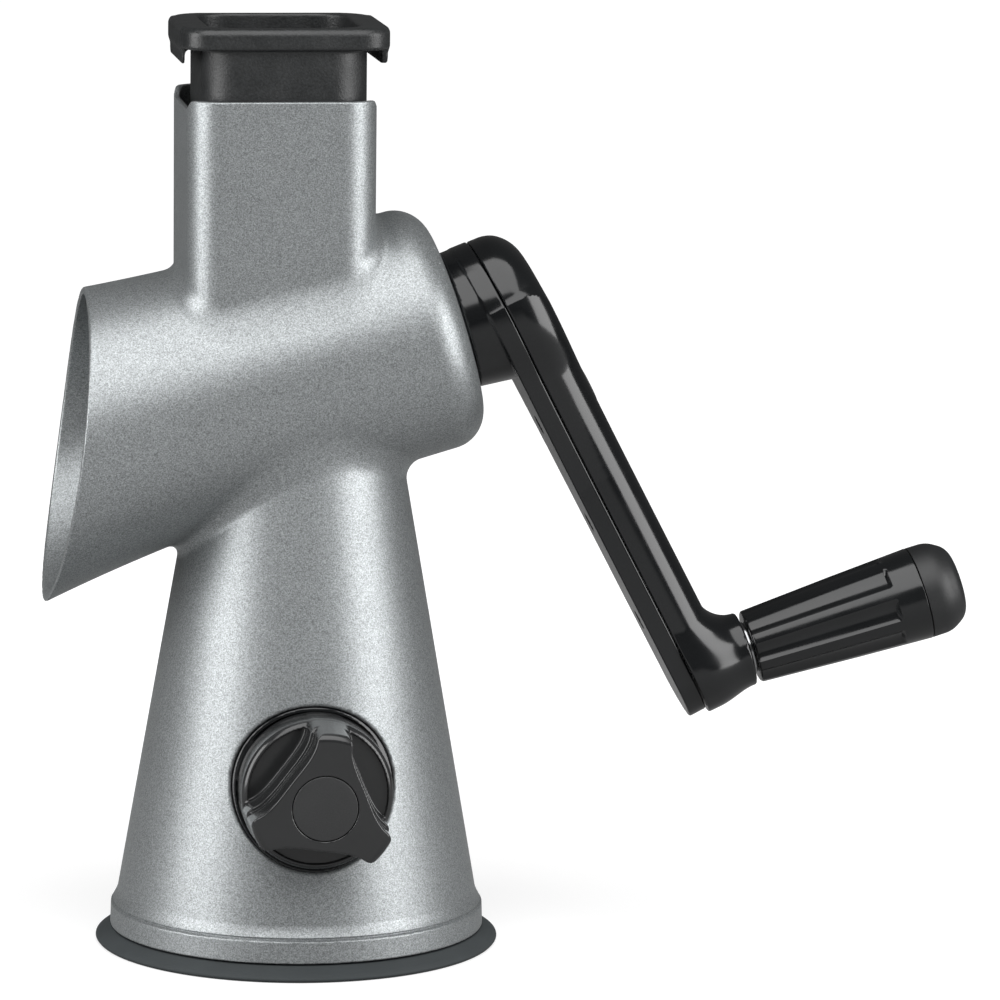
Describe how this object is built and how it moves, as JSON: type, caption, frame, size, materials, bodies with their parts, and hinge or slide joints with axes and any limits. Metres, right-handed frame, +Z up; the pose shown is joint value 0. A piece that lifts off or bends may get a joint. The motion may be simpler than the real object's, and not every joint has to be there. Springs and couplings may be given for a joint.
{
  "type": "rotary cheese grater",
  "caption": "Rotary cheese grater with a tilted drum in a silver housing, hand crank, food chute with pusher, and a suction foot locked by a lobed knob.",
  "frame": {"origin": "centre of the rubber foot's underside, on the table", "axes": "+Z up; +X towards the crank; -X towards the mouth where the food comes out; -Y towards the suction knob"},
  "size_m": [0.2973, 0.1426, 0.2941],
  "materials": {
    "silver_shell": "silver lacquer with a fine metallic sparkle",
    "gloss_black": "polished",
    "satin_black": "satin",
    "grained_black": "fine grain",
    "rubber": "matt",
    "steel": "brushed stainless",
    "screw_steel": "zinc plated",
    "white_plastic": "natural acetal",
    "grey_plastic": "satin"
  },
  "bodies": {
    "body": {"body_shell": "silver_shell", "knob_bezel": "satin_black", "base_frame": "satin_black", "frame_screw_1": "screw_steel", "frame_screw_2": "screw_steel", "frame_screw_3": "screw_steel", "suction_pad": "rubber", "front_bush": "white_plastic", "rear_bush": "white_plastic"},
    "drive": {"drive_bush": "grey_plastic", "bush_clip": "screw_steel"},
    "crank": {"drive_shaft": "steel", "shaft_screw": "screw_steel", "crank_inner_shell": "gloss_black", "crank_outer_shell": "gloss_black", "crank_screw_1": "screw_steel", "crank_screw_2": "screw_steel", "crank_screw_3": "screw_steel", "crank_badge": "satin_black", "grip_axle": "steel", "grip_washer": "steel"},
    "grip": {"grip_sleeve": "gloss_black", "grip_cap": "satin_black"},
    "drum": {"drum_barrel": "steel", "drum_hub": "grey_plastic"},
    "pusher": {"pusher": "grained_black"},
    "knob": {"knob": "gloss_black", "knob_cap": "satin_black", "knob_screw": "screw_steel", "cam_spindle": "steel", "spindle_clip": "screw_steel"},
    "yoke": {"lift_yoke": "white_plastic", "yoke_spring": "steel"}
  },
  "joints": [
    {"name": "crank_turn", "type": "hinge", "parent": "body", "child": "drive", "pos_m": [0.051, 0, 0.199], "axis": [0.9563, 0, 0.2924], "continuous": true},
    {"name": "crank_pull", "type": "slide", "parent": "drive", "child": "crank", "axis": [0.9563, 0, 0.2924], "range_m": [0, 0.045]},
    {"name": "drum_slide", "type": "slide", "parent": "drive", "child": "drum", "axis": [-0.9563, 0, -0.2924], "range_m": [0, 0.145]},
    {"name": "grip_spin", "type": "hinge", "parent": "crank", "child": "grip", "pos_m": [0.1465, 0, 0.09184], "axis": [0.9563, 0, 0.2924], "continuous": true},
    {"name": "pusher_slide", "type": "slide", "parent": "body", "child": "pusher", "axis": [0, 0, 1], "range_m": [-0.0152, 0.045]},
    {"name": "knob_turn", "type": "hinge", "parent": "body", "child": "knob", "pos_m": [0, 0, 0.0584], "axis": [0, 1, 0], "range_deg": [0, 90]},
    {"name": "yoke_lift", "type": "slide", "parent": "body", "child": "yoke", "axis": [0, 0, 1], "range_m": [0, 0.0036], "deforming": ["yoke_spring"]}
  ],
  "couplings": [
    {"joint": "yoke_lift", "follows": "knob_turn", "m_per_rad": 0.0022282}
  ]
}
